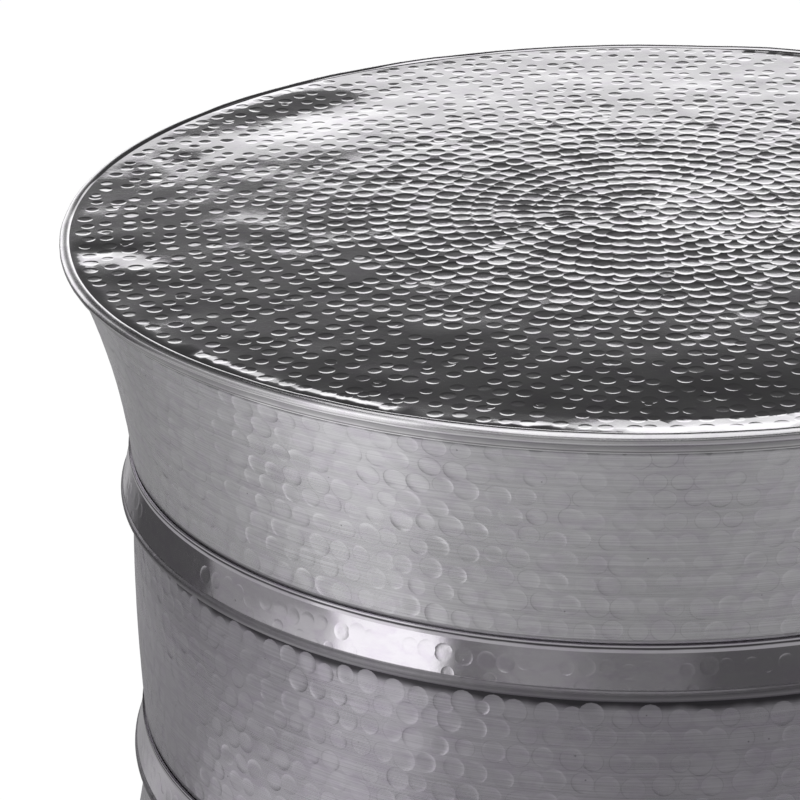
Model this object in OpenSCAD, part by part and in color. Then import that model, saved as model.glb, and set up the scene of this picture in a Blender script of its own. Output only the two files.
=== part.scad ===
// Round drum coffee table of hammered aluminium sheet.
// The origin is on the floor under the middle of the table, and Z points up.
// Every sheet piece is a band turned about Z: a path for its outer face, given in
// [radius, height], and the sheet thickness laid inside that path.

/* [Overall] */
// Outside diameter of the rolled rim
top_d = 600; // [575:5:660]
// Height from the floor to the top of the rim
table_h = 420; // [390:5:480]
// Thickness of the aluminium sheet
sheet_t = 1.2; // [0.8:0.1:1.6]

/* [Table top] */
// Outside diameter of the bead rolled along the rim
rim_bead_d = 6; // [5:0.5:10]
// Depth of the flat surface below the top of the rim
dish_depth = 1.5; // [0.5:0.25:2]
// Width of the border that climbs from the flat surface to the bead
border_w = 14; // [8:1:30]
// How far the rim laps down over the upper skirt, below the bead
rim_lap_h = 5.5; // [3:0.5:10]

/* [Walls] */
// Outside diameter of the waist where it enters the rings
waist_d = 538; // [500:2:550]
// How far the waist swells outward at its middle
waist_swell = 1.5; // [0:0.5:4]
// Outward slope of a skirt where it leaves the waist, in mm per mm of height
neck_slope = 0.09; // [0:0.01:0.16]
// Height of the upper joint, where the upper skirt's face ends, above the floor
upper_joint_z = 302; // [285:1:320]
// Height of the lower joint, where the waist's face ends, above the floor
lower_joint_z = 150; // [130:1:165]
// Height of the groove between a wall's lower edge and the ring under it
groove_h = 3; // [2:0.5:5]
// Length of the tail that a wall slips inside the wall below it
tail_h = 18; // [10:1:22]

/* [Rings] */
// Height of a ring
ring_h = 26; // [23:1:32]
// How far a ring's bead stands out from the waist
ring_proud = 6.5; // [5.5:0.5:10]
// Outside diameter of the bead along a ring's lower edge
ring_bead_d = 7; // [6:0.5:9]
// Height of the upright collar at a ring's top edge
ring_collar_h = 2; // [1:0.5:5]
// How far a ring's sloping face stays behind its bead
ring_face_step = 1.4; // [1:0.2:2.4]

/* [Base] */
// Outside diameter of the rolled foot
base_d = 600; // [575:5:660]
// Outside diameter of the bead rolled along the foot
foot_bead_d = 8; // [6:0.5:12]
// Width of the flat flange turned in under the foot
foot_flange_w = 24; // [22:1:40]

/* [Glides] */
// Diameter of a felt glide
glide_d = 20; // [12:1:22]
// Thickness of a felt glide
glide_t = 3; // [1.5:0.5:6]

/* [Fits] */
// Gap between pieces that seat on each other
fit_gap = 0.1; // [0.05:0.05:0.3]
// Radius of the hollow where a sheet turns out onto a bead
hollow_r = 1; // [0.6:0.2:1.6]

/* [Hidden] */
arc_angle = 10;
curve_steps = 16;
near = 0.02;
turn_fn = 180;
bar_fn = 48;
waist_r = waist_d / 2;
tail_r = waist_r - sheet_t - fit_gap;
rim_bead_r = rim_bead_d / 2;
rim_bead_c = [top_d / 2 - rim_bead_r, table_h - rim_bead_r];
rim_hoop_r = rim_bead_r - sheet_t - fit_gap;
foot_bead_r = foot_bead_d / 2;
foot_bead_c = [base_d / 2 - foot_bead_r, glide_t + foot_bead_r];
base_hoop_r = foot_bead_r - sheet_t - fit_gap;
ring_bead_r = ring_bead_d / 2;
upper_skirt_top = rim_bead_c.y - rim_hoop_r - 2 * fit_gap;
upper_flare_h = upper_skirt_top - upper_joint_z;
upper_ring_z = upper_joint_z - groove_h;
lower_ring_z = lower_joint_z - groove_h;
aluminium = "silver";
steel = "dimgray";
felt = "darkslategray";

function unit(v) = v / norm(v);
function flip(path) = [for (i = [len(path) - 1:-1:0]) path[i]];
function rest(path) = [for (i = [1:len(path) - 1]) path[i]];
function upside_down(path) = [for (p = path) [p.x, -p.y]];
function right_of(a, b) = let (v = unit(b - a)) [v.y, -v.x];

// Points of an arc: its two ends and every whole multiple of arc_angle between them,
// so that a bead always has a point at its widest and at its highest place.
function arc(c, r, from, to) =
    let (
        low = min(from, to),
        high = max(from, to),
        first = ceil(low / arc_angle + near),
        last = floor(high / arc_angle - near),
        angles = concat([low], [for (k = [first:last]) k * arc_angle], [high])
    )
    [for (a = from < to ? angles : flip(angles)) c + r * [cos(a), sin(a)]];

// The path moved to its right by t, with mitred corners.
function beside(path, t) =
    [for (i = [0:len(path) - 1])
        let (
            a = min(i, len(path) - 2),
            b = max(i - 1, 0),
            after = right_of(path[a], path[a + 1]),
            before = right_of(path[b], path[b + 1]),
            mitre = unit(before + after)
        )
        path[i] + mitre * t / (mitre * before)];

// A path that leaves p along the unit direction v, turns out through a small hollow
// and follows a bead of radius r about c, clockwise to the angle end.
function onto_bead(p, v, c, r, end) =
    let (
        out = [-v.y, v.x],
        q = p + out * hollow_r - c,
        s = -(q * v) - sqrt(pow(r + hollow_r, 2) - q * q + pow(q * v, 2)),
        f = p + out * hollow_r + v * s,
        first = atan2(-out.y, -out.x),
        turn = acos(-out * unit(c - f))
    )
    concat([p], arc(f, hollow_r, first, first + turn),
           rest(arc(c, r, atan2(f.y - c.y, f.x - c.x), end)));

// A skirt's outer radius at u from its neck, when it has to reach reach_r at u = h.
function flare_bend(reach_r, h) = (reach_r - waist_r - neck_slope * h) / (h * h);
function flare_r(u, reach_r, h) = waist_r + neck_slope * u + flare_bend(reach_r, h) * u * u;
function flare_slope(u, reach_r, h) = neck_slope + 2 * flare_bend(reach_r, h) * u;
function upper_flare_r(z) = flare_r(z - upper_joint_z, rim_bead_c.x, upper_flare_h);

// The lower end of a wall: a shoulder stepped in over the groove, and the tail below it.
function tail(joint_z) = [[tail_r, joint_z - groove_h], [tail_r, joint_z - groove_h - tail_h]];

// A sheet piece, turned about Z from the path of its outer face.
module sheet(path) {
    rotate_extrude($fn = turn_fn) polygon(concat(path, flip(beside(path, sheet_t))));
}

// A round bar bent into a hoop.
module hoop(c, r) {
    rotate_extrude($fn = turn_fn) translate(c) circle(r, $fn = bar_fn);
}

// The disc, its climbing border, the bead over the rim hoop and the lap on the skirt.
module table_top() {
    flat_z = table_h - dish_depth;
    top_angle = 90 + atan2(dish_depth, border_w);
    lap_z = rim_bead_c.y - rim_bead_r - rim_lap_h;
    slope = flare_slope(lap_z - upper_joint_z, rim_bead_c.x, upper_flare_h);
    skirt_side = unit([1, -slope]);
    lap_end = [upper_flare_r(lap_z), lap_z] + skirt_side * (sheet_t + fit_gap);
    lap_up = upside_down(onto_bead([lap_end.x, -lap_end.y], unit([slope, -1]),
                                   [rim_bead_c.x, -rim_bead_c.y], rim_bead_r, -top_angle));
    color(aluminium)
        sheet(concat([[0, flat_z], [rim_bead_c.x - border_w, flat_z]], flip(lap_up)));
}

// The steel hoop that the rim is rolled over.
module rim_hoop() {
    color(steel) hoop(rim_bead_c, rim_hoop_r);
}

// The flared wall under the rim, with a tail that slips into the waist.
module upper_skirt() {
    flare = [for (i = [0:curve_steps])
        let (z = upper_skirt_top - upper_flare_h * i / curve_steps) [upper_flare_r(z), z]];
    color(aluminium) sheet(concat(flare, tail(upper_joint_z)));
}

// A ring about the top end of a wall: collar, sloping face, bead and the lip under it.
module ring(top_z) {
    collar_r = waist_r + fit_gap + sheet_t;
    foot_z = top_z - ring_h;
    bead_c = [waist_r + ring_proud - ring_bead_r, foot_z + ring_bead_r];
    face_top = [collar_r, top_z - ring_collar_h];
    face_foot = [waist_r + ring_proud - ring_face_step, bead_c.y + ring_bead_r];
    color(aluminium)
        sheet(concat([[collar_r, top_z]],
                     onto_bead(face_top, unit(face_foot - face_top), bead_c, ring_bead_r, -90),
                     [[waist_r + fit_gap, foot_z]]));
}

module upper_ring() {
    ring(upper_ring_z);
}

module lower_ring() {
    ring(lower_ring_z);
}

// The middle wall: upright in the upper ring, slightly swollen below it, and a tail.
module waist() {
    swell_top = upper_ring_z - ring_h;
    swell_h = swell_top - lower_joint_z;
    swell = [for (i = [0:curve_steps])
        let (s = i / curve_steps) [waist_r + waist_swell * 4 * s * (1 - s), swell_top - swell_h * s]];
    color(aluminium)
        sheet(concat([[waist_r, upper_ring_z - fit_gap]], swell, tail(lower_joint_z)));
}

// The lower wall: upright in the lower ring, then flared down to its rolled foot.
module base_skirt() {
    neck_z = lower_ring_z - ring_h;
    bead_top = [foot_bead_c.x, foot_bead_c.y + foot_bead_r];
    flare_h = neck_z - bead_top.y;
    flare = [for (i = [0:curve_steps - 1])
        let (u = flare_h * i / curve_steps) [flare_r(u, bead_top.x, flare_h), neck_z - u]];
    last = flare[curve_steps - 1];
    foot_in = [foot_bead_c.x - foot_flange_w, glide_t];
    color(aluminium)
        sheet(concat([[waist_r, lower_ring_z - fit_gap]],
                     [for (i = [0:curve_steps - 2]) flare[i]],
                     onto_bead(last, unit(bead_top - last), foot_bead_c, foot_bead_r, -90),
                     [foot_in]));
}

// The steel hoop that the foot is rolled over.
module base_hoop() {
    color(steel) hoop(foot_bead_c, base_hoop_r);
}

// One felt glide under the foot's flange, at a quarter turn of the table.
module glide(angle) {
    rotate(angle) translate([foot_bead_c.x - foot_flange_w / 2, 0, 0])
        color(felt) cylinder(d = glide_d, h = glide_t, $fn = bar_fn);
}

table_top();
rim_hoop();
upper_skirt();
upper_ring();
waist();
lower_ring();
base_skirt();
base_hoop();
glide(-90);  // glide_front
glide(0);  // glide_right
glide(90);  // glide_back
glide(180);  // glide_left
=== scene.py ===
"""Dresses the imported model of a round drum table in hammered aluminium.

All lengths are in metres. The turned sheet pieces follow the paths of the CAD pieces
that they stand for. No bmesh operator cuts a sheet along thousands of hammer marks
that lie over each other, so each struck face is cut flat, along the outline of every
mark that still shows, and then laid onto its path. The rest of each piece is spun.
"""
import math
import random
from collections import namedtuple

import bmesh
import bpy
from bpy.props import FloatProperty, FloatVectorProperty, IntProperty, PointerProperty
from mathutils import Matrix, Vector, noise
from mathutils.geometry import delaunay_2d_cdt


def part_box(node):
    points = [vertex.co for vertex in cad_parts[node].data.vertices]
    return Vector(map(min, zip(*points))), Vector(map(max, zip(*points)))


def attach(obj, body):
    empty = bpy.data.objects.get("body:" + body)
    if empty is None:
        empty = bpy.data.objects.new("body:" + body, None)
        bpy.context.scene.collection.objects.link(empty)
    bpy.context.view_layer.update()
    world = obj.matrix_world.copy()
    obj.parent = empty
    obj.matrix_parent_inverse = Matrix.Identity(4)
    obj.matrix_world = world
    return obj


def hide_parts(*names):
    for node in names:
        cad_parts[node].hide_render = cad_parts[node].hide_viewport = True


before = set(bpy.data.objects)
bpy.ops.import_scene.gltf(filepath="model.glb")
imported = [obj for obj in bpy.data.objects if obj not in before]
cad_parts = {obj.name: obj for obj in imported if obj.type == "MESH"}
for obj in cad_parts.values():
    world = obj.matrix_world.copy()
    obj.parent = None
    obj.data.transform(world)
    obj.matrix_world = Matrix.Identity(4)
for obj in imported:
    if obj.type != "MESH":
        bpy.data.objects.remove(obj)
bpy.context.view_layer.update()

bl_info = {
    "name": "Hammered Drum Table",
    "version": (1, 0, 0),
    "blender": (4, 5, 0),
    "location": "View3D > Sidebar > Drum Table",
    "description": "Builds a round coffee table of hammered aluminium sheet",
    "category": "Object",
}

# Sizes of the CAD pieces, as in the part's own source
SHEET = 0.0012
FIT_GAP = 0.0001
TOP_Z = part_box("table_top")[1].z
TOP_R = 0.300
RIM_BEAD_R = 0.003
RIM_C = (TOP_R - RIM_BEAD_R, TOP_Z - RIM_BEAD_R)
DISH = 0.0015
FLAT_Z = TOP_Z - DISH
BORDER_R = 0.283
QUIET_R = 0.17  # inside this radius the disc has only its soft unevenness
LAP_Z = 0.4085
WAIST_R = 0.269
WAIST_SWELL = 0.0015
TAIL_R = WAIST_R - SHEET - FIT_GAP
TAIL_H = 0.018
NECK_SLOPE = 0.09
UPPER_JOINT = 0.302
LOWER_JOINT = 0.150
GROOVE = 0.003
RING_H = 0.026
RING_PROUD = 0.0065
RING_BEAD_R = 0.0035
RING_COLLAR = 0.002
RING_RISE = 0.0016
RING_STEP = 0.0014
FOOT_BEAD_R = 0.004
FOOT_C = (0.296, 0.007)
FOOT_IN = 0.024
GLIDE_T = 0.003
HOLLOW_R = 0.001
SKIRT_TOP = RIM_C[1] - (RIM_BEAD_R - SHEET - FIT_GAP) - 2 * FIT_GAP
JOIN_A = math.radians(133)
JOIN = (RIM_C[0] + RIM_BEAD_R * math.cos(JOIN_A), RIM_C[1] + RIM_BEAD_R * math.sin(JOIN_A))
TURN_STEPS = 240
FULL_TURN = 2 * math.pi
SHARP = math.radians(28)
EDGE_FADE = 0.006  # width of the strip over which a band's unevenness begins
PROBE = 0.0006  # distance between the two places from which a slope is measured
# The greatest distances at which places count as the same
TOLERANCE = 1e-5
MERGE = 3e-6
CUT_EPSILON = 1e-6
ON_SPOT = 1e-9


# Sizes and colours that a user would change

def length(name, description, default, low=0.006, high=0.03):
    return FloatProperty(name=name, description=description, default=default, min=low, max=high,
                         unit="LENGTH", subtype="DISTANCE")


def slope_angle(degrees):
    return FloatProperty(
        name="Mark slope", description="Slope of the metal at the edge of a hammer mark",
        default=math.radians(degrees), min=0.0, max=0.3, subtype="ANGLE")


def colour_of(name, description, default):
    return FloatVectorProperty(name=name, description=description, default=default, min=0, max=1,
                               size=3, subtype="COLOR")


class TopSettings(bpy.types.PropertyGroup):
    """The hammered disc of the table."""
    row_pitch: length("Row pitch", "Distance from one ring of hammer marks to the next", 0.0108)
    mark_pitch: length("Mark pitch", "Distance between hammer marks along a ring", 0.0112)
    mark_radius: length("Mark radius", "Radius of a hammer mark near the middle of the disc",
                        0.0062, 0.002, 0.012)
    mark_slope: slope_angle(7.6)
    colour: colour_of("Colour", "Colour of the polished aluminium", (0.86, 0.85, 0.87))


class WallSettings(bpy.types.PropertyGroup):
    """The skirts and the waist."""
    row_pitch: length("Row pitch", "Distance from one row of hammer marks to the next", 0.0122)
    mark_pitch: length("Mark pitch", "Distance between hammer marks along a row", 0.0125)
    mark_radius: length("Mark radius", "Radius of a hammer mark", 0.0057, 0.002, 0.012)
    mark_slope: slope_angle(5.9)
    skirt_colour: colour_of("Skirt colour", "Colour of the brushed aluminium of the skirts",
                            (0.88, 0.868, 0.90))
    waist_colour: colour_of("Waist colour", "Colour of the brushed aluminium of the waist",
                            (0.605, 0.582, 0.632))


class RingSettings(bpy.types.PropertyGroup):
    """The two beaded rings."""
    mark_pitch: length("Mark pitch", "Distance between hammer marks round a ring", 0.0096)
    mark_radius: length("Mark radius", "Radius of a hammer mark on the face of a ring",
                        0.0043, 0.002, 0.008)
    mark_slope: slope_angle(2.8)
    colour: colour_of("Colour", "Colour of the polished aluminium", (0.86, 0.83, 0.885))


class FittingSettings(bpy.types.PropertyGroup):
    """The steel hoops inside the rolled edges, and the felt glides."""
    steel_colour: colour_of("Steel colour", "Colour of the drawn steel bar", (0.38, 0.38, 0.40))
    felt_colour: colour_of("Felt colour", "Colour of the pressed felt", (0.055, 0.06, 0.065))


class StageSettings(bpy.types.PropertyGroup):
    """The floor and the soft lamp."""
    floor_radius: length("Floor radius", "Radius of the pale floor", 4.0, 1.0, 20.0)
    floor_colour: colour_of("Floor colour", "Colour of the floor", (0.8, 0.8, 0.8))
    lamp_level: FloatProperty(
        name="Lamp level", description="Brightness of the soft lamp, 1 is white",
        default=1.0, min=0.0, max=4.0, subtype="FACTOR")


class DrumTableSettings(bpy.types.PropertyGroup):
    """All settings of the drum table."""
    top: PointerProperty(type=TopSettings, name="Top", description="The hammered disc")
    wall: PointerProperty(type=WallSettings, name="Walls", description="The skirts and the waist")
    ring: PointerProperty(type=RingSettings, name="Rings", description="The beaded rings")
    fitting: PointerProperty(type=FittingSettings, name="Fittings", description="Hoops and glides")
    stage: PointerProperty(type=StageSettings, name="Stage", description="Floor and lamp")
    steps: IntProperty(
        name="Steps", description="Number of steps that a full turn of sheet is made of",
        default=TURN_STEPS, min=96, max=360)


# Paths of the turned pieces, as (radius, height), with the metal on their right

def unit(x, y):
    size = math.hypot(x, y)
    return x / size, y / size


def heading(a, b):
    """The direction from a to b."""
    return unit(b[0] - a[0], b[1] - a[1])


def arc(c, r, start, end, step):
    """Points of an arc from start to end, in degrees, about every step."""
    count = max(1, round(abs(end - start) / step))
    angles = [math.radians(start + (end - start) * i / count) for i in range(count + 1)]
    return [(c[0] + r * math.cos(a), c[1] + r * math.sin(a)) for a in angles]


def beside(path, t):
    """The path moved to its right by t, with mitred corners."""
    out = []
    for i, p in enumerate(path):
        a, b = min(i, len(path) - 2), max(i - 1, 0)
        after, before = heading(path[a], path[a + 1]), heading(path[b], path[b + 1])
        mitre = unit(after[1] + before[1], -after[0] - before[0])
        k = t / (mitre[0] * before[1] - mitre[1] * before[0])
        out.append((p[0] + mitre[0] * k, p[1] + mitre[1] * k))
    return out


def onto_bead(p, v, c, r, end):
    """From p along v, out through a small hollow and round a bead, clockwise to end."""
    out = (-v[1], v[0])
    q = (p[0] + out[0] * HOLLOW_R - c[0], p[1] + out[1] * HOLLOW_R - c[1])
    along = q[0] * v[0] + q[1] * v[1]
    s = -along - math.sqrt((r + HOLLOW_R) ** 2 - q[0] ** 2 - q[1] ** 2 + along ** 2)
    f = (p[0] + out[0] * HOLLOW_R + v[0] * s, p[1] + out[1] * HOLLOW_R + v[1] * s)
    first = math.degrees(math.atan2(-out[1], -out[0]))
    to = heading(f, c)
    turn = math.degrees(math.acos(-(out[0] * to[0] + out[1] * to[1])))
    begin = math.degrees(math.atan2(f[1] - c[1], f[0] - c[0]))
    return [p] + arc(f, HOLLOW_R, first, first + turn, 20) + arc(c, r, begin, end, 15)[1:]


def flare(u, reach, h):
    """Radius of a skirt at u from its neck, when it has to reach its edge at h."""
    bend = (reach - WAIST_R - NECK_SLOPE * h) / (h * h)
    return WAIST_R + NECK_SLOPE * u + bend * u * u


def flare_slope(u, reach, h):
    return NECK_SLOPE + 2 * u * (reach - WAIST_R - NECK_SLOPE * h) / (h * h)


def tail_of(joint_z):
    low = joint_z - GROOVE
    return [(TAIL_R, low), (TAIL_R, low - TAIL_H)]


def upper_skirt_path():
    h = SKIRT_TOP - UPPER_JOINT
    heights = [SKIRT_TOP - h * i / 12 for i in range(13)]
    return [(flare(z - UPPER_JOINT, RIM_C[0], h), z) for z in heights] + tail_of(UPPER_JOINT)


def waist_path():
    top = UPPER_JOINT - GROOVE - RING_H
    h = top - LOWER_JOINT
    swell = [(WAIST_R + WAIST_SWELL * i * (8 - i) / 16, top - h * i / 8) for i in range(9)]
    return [(WAIST_R, UPPER_JOINT - GROOVE - FIT_GAP)] + swell + tail_of(LOWER_JOINT)


def base_skirt_path():
    neck = LOWER_JOINT - GROOVE - RING_H
    edge = (FOOT_C[0], FOOT_C[1] + FOOT_BEAD_R)
    h = neck - edge[1]
    wall = [(flare(h * i / 16, edge[0], h), neck - h * i / 16) for i in range(16)]
    return ([(WAIST_R, LOWER_JOINT - GROOVE - FIT_GAP)] + wall[:-1]
            + onto_bead(wall[-1], heading(wall[-1], edge), FOOT_C, FOOT_BEAD_R, -90)
            + [(FOOT_C[0] - FOOT_IN, GLIDE_T)])


def ring_path(top_z):
    collar = WAIST_R + FIT_GAP + SHEET
    foot = top_z - RING_H
    c = (WAIST_R + RING_PROUD - RING_BEAD_R, foot + RING_BEAD_R)
    face_top = (collar, top_z - RING_COLLAR)
    face_foot = (WAIST_R + RING_PROUD - RING_STEP, c[1] + RING_BEAD_R)
    # The collar rises further into the groove than the CAD one, as in the photograph
    return ([(collar, top_z + RING_RISE)]
            + onto_bead(face_top, heading(face_top, face_foot), c, RING_BEAD_R, -90)
            + [(WAIST_R + FIT_GAP, foot)])


# Hammer marks

class Mark(namedtuple("Mark", "u v r depth tilt_u tilt_v")):
    """A round hammer mark: a shallow bowl, and a slight tilt of the whole mark."""

    def offset(self, u, v):
        """Where a point lies from the middle, and its distance as a share of the radius."""
        du, dv = u - self.u, v - self.v
        return du, dv, math.hypot(du, dv) / self.r

    def deep(self, du, dv):
        return self.depth - self.tilt_u * du - self.tilt_v * dv


Corner = namedtuple("Corner", "vert across lean frame")
MARK_SIDES = 16
HALF_SIDE = math.pi / MARK_SIDES
SIDE_POINTS = [(math.cos(2 * HALF_SIDE * k), math.sin(2 * HALF_SIDE * k))
               for k in range(MARK_SIDES)]
BOWL_ANGLES = [(reach, FULL_TURN * (k + 0.5) / count)
               for reach, count in ((0.45, 6), (0.75, 10)) for k in range(count)]
BOWL_POINTS = [(reach * math.cos(a), reach * math.sin(a)) for reach, a in BOWL_ANGLES]
BOWL_CLEARANCE = 3e-4


class Pattern:
    """A flat pattern of round marks, where a later mark lies over the earlier ones."""

    def __init__(self, marks, low=-1.0, high=1.0):
        self.marks = marks
        self.low = low
        self.high = high
        self.cell = max(m.r for m in marks)
        self.near = {}
        for i, m in enumerate(marks):
            reach = m.r + BOWL_CLEARANCE
            for cu in range(self.at(m.u - reach), self.at(m.u + reach) + 1):
                for cv in range(self.at(m.v - reach), self.at(m.v + reach) + 1):
                    self.near.setdefault((cu, cv), []).append(i)

    def at(self, x):
        return math.floor(x / self.cell)

    def around(self, u, v):
        return self.near.get((self.at(u), self.at(v)), ())

    def inside(self, i, u, v, grow=0.0):
        """Whether a point lies in mark i, as cut with straight sides."""
        m = self.marks[i]
        du, dv = u - m.u, v - m.v
        d = math.hypot(du, dv)
        if d > m.r + grow:
            return False
        turn = math.atan2(dv, du) % (2 * HALF_SIDE) - HALF_SIDE
        return d * math.cos(turn) < m.r * math.cos(HALF_SIDE) + grow

    def shows(self, i, u, v, grow):
        """Whether a point of mark i lies in the struck strip and under no later mark."""
        return self.low < v < self.high and not any(
            j > i and self.inside(j, u, v, grow) for j in self.around(u, v))

    def owner(self, u, v):
        """The topmost mark at a point, or None where the sheet is as it was."""
        if self.low < v < self.high:
            for i in reversed(self.around(u, v)):
                if self.inside(i, u, v):
                    return i
        return None

    def height(self, u, v):
        """The lowest of all marks at a point, so that the sheet has no steps."""
        low = 0.0
        if self.low < v < self.high:
            for i in self.around(u, v):
                du, dv, d = self.marks[i].offset(u, v)
                if d < 1:
                    low = min(low, -self.marks[i].deep(du, dv) * (1 - d ** 4))
        return low

    def depth_in(self, i, u, v):
        """How far out in mark i a point lies: 0.2 in its middle, 1 at its edge."""
        return 0.2 + 0.8 * min(1.0, self.marks[i].offset(u, v)[2])

    def slope(self, i, u, v):
        """The slope of mark i: nearly flat in the middle, and steep at its edge."""
        m = self.marks[i]
        du, dv, d = m.offset(u, v)
        k = 4 * m.deep(du, dv) * d * d / (m.r * m.r)
        return k * du + m.tilt_u * (1 - d ** 4), k * dv + m.tilt_v * (1 - d ** 4)

    def outlines(self):
        """Points and edges that cut the sheet along every mark that still shows."""
        points, edges = [], []
        for i, m in enumerate(self.marks):
            ring = [(m.u + m.r * c, m.v + m.r * s) for c, s in SIDE_POINTS]
            shown = [self.shows(i, u, v, -TOLERANCE) for u, v in ring]
            index = {}
            for k in range(MARK_SIDES):
                n = (k + 1) % MARK_SIDES
                if shown[k] or shown[n]:
                    for q in (k, n):
                        if q not in index:
                            index[q] = len(points)
                            points.append(Vector(ring[q]))
                    edges.append((index[k], index[n]))
            for c, s in BOWL_POINTS:
                u, v = m.u + m.r * c, m.v + m.r * s
                if self.shows(i, u, v, BOWL_CLEARANCE):
                    points.append(Vector((u, v)))
        return points, edges


def blow(rng, u, v, r, slope, tilt):
    """A mark whose metal has about the given slope, in radians, at its edge."""
    return Mark(u, v, r, r * math.tan(slope) / 4, rng.gauss(0, tilt), rng.gauss(0, tilt))


def rows_of_marks(rng, width, rows, pitch, r, slope, shake, tilt):
    """Staggered rows of marks round a band, at the given places down its path."""
    bends, most_sway, shake_down = 12, 0.0012, 0.008
    marks = []
    for row, v in enumerate(rows):
        count = round(width / pitch)
        sway = [rng.uniform(-1, 1) * most_sway for _ in range(bends)]
        for j in range(count):
            t = bends * j / count
            drift = sway[int(t) % bends] * (1 - t % 1) + sway[(int(t) + 1) % bends] * (t % 1)
            u = (j + 0.5 * (row % 2) + rng.uniform(-shake, shake)) * width / count
            marks.append(blow(rng, u % width, v + drift + rng.uniform(-shake, shake) * shake_down,
                              r * rng.uniform(0.84, 1.14), slope * rng.uniform(0.55, 1.4), tilt))
    return marks


def strike(bm, points, edges, pattern, keep, lay, span_at):
    """Cuts the flat sheet, lays it in place, and keeps each corner's true normal."""
    flat, _, faces = delaunay_2d_cdt(points, edges, [], 0, CUT_EPSILON, False)[:3]
    cast = bm.loops.layers.float_vector.new("cast")
    struck = bm.loops.layers.float.new("struck")
    laid, turned = {}, {}
    for face in faces:
        cu = sum(flat[k][0] for k in face) / len(face)
        cv = sum(flat[k][1] for k in face) / len(face)
        if not keep(cu, cv):
            continue
        mark = pattern.owner(cu, cv)
        span = span_at(cv)
        corners = []
        for k in face:
            if k not in laid:
                u, v = flat[k]
                laid[k] = lay(u, v, pattern.height(u, v))
            corners.append(laid[k])
        made = bm.faces.new([c.vert for c in corners])
        for k, c, loop in zip(face, corners, made.loops):
            key = (k, mark, span)
            if key not in turned:
                su, sv = pattern.slope(mark, *flat[k]) if mark is not None else (0.0, 0.0)
                out, down = c.frame(span)
                normal = out - c.across * (su + c.lean[0]) - down * (sv + c.lean[1])
                turned[key] = normal.normalized()
            loop[cast] = turned[key]
            loop[struck] = 0.0 if mark is None else pattern.depth_in(mark, *flat[k])


def place_object(name, data):
    made = bpy.data.objects.new(name, data)
    bpy.context.scene.collection.objects.link(made)
    return made


def spin_profile(bm, profile, steps):
    """Turns a profile about Z."""
    verts = [bm.verts.new((r, 0, z)) for r, z in profile]
    edges = [bm.edges.new(pair) for pair in zip(verts, verts[1:])]
    bmesh.ops.spin(bm, geom=verts + edges, cent=(0, 0, 0), axis=(0, 0, 1), dvec=(0, 0, 0),
                   angle=FULL_TURN, steps=steps, use_merge=True, use_duplicate=False)


def finish_piece(bm, name, node, material):
    """Closes the sheet, keeps its struck normals and puts it in the place of its CAD node."""
    bmesh.ops.remove_doubles(bm, verts=bm.verts[:], dist=MERGE)
    bmesh.ops.recalc_face_normals(bm, faces=bm.faces[:])
    if any(len(e.link_faces) != 2 for e in bm.edges):
        raise RuntimeError(name + " isn't closed")
    mesh = bpy.data.meshes.new(name)
    bm.to_mesh(mesh)
    bm.free()
    mesh.shade_smooth()
    mesh.set_sharp_from_angle(angle=SHARP)
    cast = mesh.attributes["cast"]
    struck = [0.0] * (3 * len(mesh.loops))
    cast.data.foreach_get("vector", struck)
    plain = [0.0] * len(struck)
    mesh.corner_normals.foreach_get("vector", plain)
    normals = [struck[i:i + 3] if any(struck[i:i + 3]) else plain[i:i + 3]
               for i in range(0, len(struck), 3)]
    mesh.attributes.remove(cast)
    mesh.normals_split_custom_set(normals)
    mesh.materials.append(material)
    piece = place_object(name, mesh)
    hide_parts(node)
    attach(piece, "root")


# Where hand work left the rolled rim and the border of the disc inside it. An angle
# round the table is in degrees from its right side, and below 0 on the near side.
RIM_SETTLED = 0.0011
STEEP_BORDER = (-74, 12)
BORDER_LIFTS = ((-164, 160, 1.1), (-147, 700, 0.6), (-134, 190, 1.0), (-124, 300, 1.0),
                (-116, 500, 1.0), (-98.5, 360, 0.8))
FAR_HOLLOW = (138, 60)
LOUD_MARKS = (170, 14)


# Struck bands

class Wrap:
    """Lays a flat strip, u round the turn and v down the path, onto a turned path.

    The path's points that smooth numbers show no edge.
    """

    def __init__(self, path, smooth, steps):
        self.path = path
        self.steps = steps
        self.at = [0.0]
        for a, b in zip(path, path[1:]):
            self.at.append(self.at[-1] + math.dist(a, b))
        self.r = sum(p[0] for p in path) / len(path)
        self.width = FULL_TURN * self.r
        down = self.down = [heading(a, b) for a, b in zip(path, path[1:])]
        self.ends = []
        for i, d in enumerate(down):
            first = down[i - 1] if i in smooth else d
            last = down[i + 1] if i + 1 in smooth else d
            self.ends.append([unit(-d[1] - b[1], d[0] + b[0]) for b in (first, last)])

    def span(self, v):
        """The number of the path's stretch that v lies in."""
        for i in range(len(self.down) - 1):
            if v <= self.at[i + 1] + ON_SPOT:
                return i
        return len(self.down) - 1

    def out(self, v, i):
        k = (v - self.at[i]) / (self.at[i + 1] - self.at[i])
        a, b = self.ends[i]
        return unit(a[0] + (b[0] - a[0]) * k, a[1] + (b[1] - a[1]) * k)

    def strip(self, pattern):
        """Points and edges of the flat strip, cut at the path's points and the marks."""
        points, edges = pattern.outlines()
        for row, v in enumerate(self.at):
            base = len(points)
            points += [Vector((self.width * j / self.steps, v)) for j in range(self.steps + 1)]
            edges += [(base + j, base + j + 1) for j in range(self.steps)]
            if row:
                above = base - self.steps - 1
                edges += [(above, base), (above + self.steps, base + self.steps)]
        return points, edges


def smoothstep(low, high, x):
    k = min(1.0, max(0.0, (x - low) / (high - low)))
    return k * k * (3 - 2 * k)


def lobe(a, middle, power):
    """A smooth hump round the turn, 1 at middle, and narrower for a higher power."""
    return max(0.0, math.cos(a - math.radians(middle))) ** power


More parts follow.
